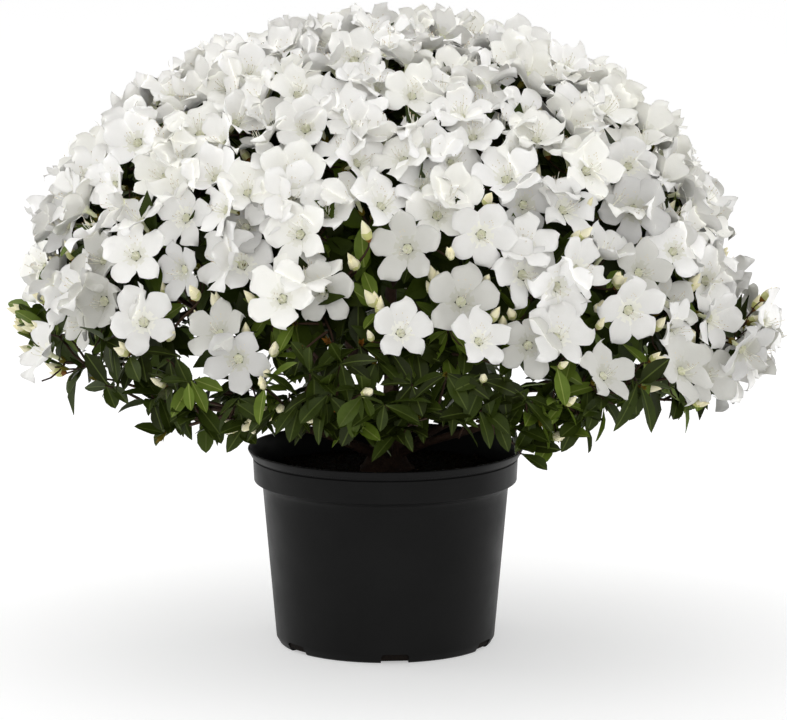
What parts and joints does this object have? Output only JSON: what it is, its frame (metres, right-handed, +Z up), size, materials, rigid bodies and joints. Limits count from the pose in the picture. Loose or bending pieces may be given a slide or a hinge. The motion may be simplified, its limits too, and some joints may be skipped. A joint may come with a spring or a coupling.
{
  "type": "potted azalea shrub",
  "caption": "Low domed evergreen shrub covered in open white funnel blossoms over a fringe of drooping leaves, in a round tapered nursery pot filled with peat.",
  "frame": {"origin": "middle of the pot's flat underside", "axes": "+Z up, +X to the shrub's right seen from its front, -Y out of its front"},
  "size_m": [0.725, 0.7308, 0.6049],
  "materials": {
    "pot_plastic": "satin",
    "peat": "matte",
    "bark": "matte",
    "blossom": "matte",
    "leaves": "satin"
  },
  "bodies": {
    "root": {"pot": "pot_plastic", "soil": "peat", "trunk": "bark", "bough_top": "bark", "bough_upper_1": "bark", "bough_upper_2": "bark", "bough_upper_3": "bark", "bough_upper_4": "bark", "bough_lower_1": "bark", "bough_lower_2": "bark", "bough_lower_3": "bark", "bough_lower_4": "bark", "bough_lower_5": "bark", "bough_lower_6": "bark", "bough_lower_7": "bark", "blossom_top": "blossom", "blossom_upper_1": "blossom", "blossom_upper_2": "blossom", "blossom_upper_3": "blossom", "blossom_upper_4": "blossom", "blossom_lower_1": "blossom", "blossom_lower_2": "blossom", "blossom_lower_3": "blossom", "blossom_lower_4": "blossom", "blossom_lower_5": "blossom", "blossom_lower_6": "blossom", "blossom_lower_7": "blossom", "leaves_under_1": "leaves", "leaves_under_2": "leaves", "leaves_under_3": "leaves", "leaves_under_4": "leaves", "leaves_under_5": "leaves", "leaves_under_6": "leaves"}
  },
  "joints": []
}
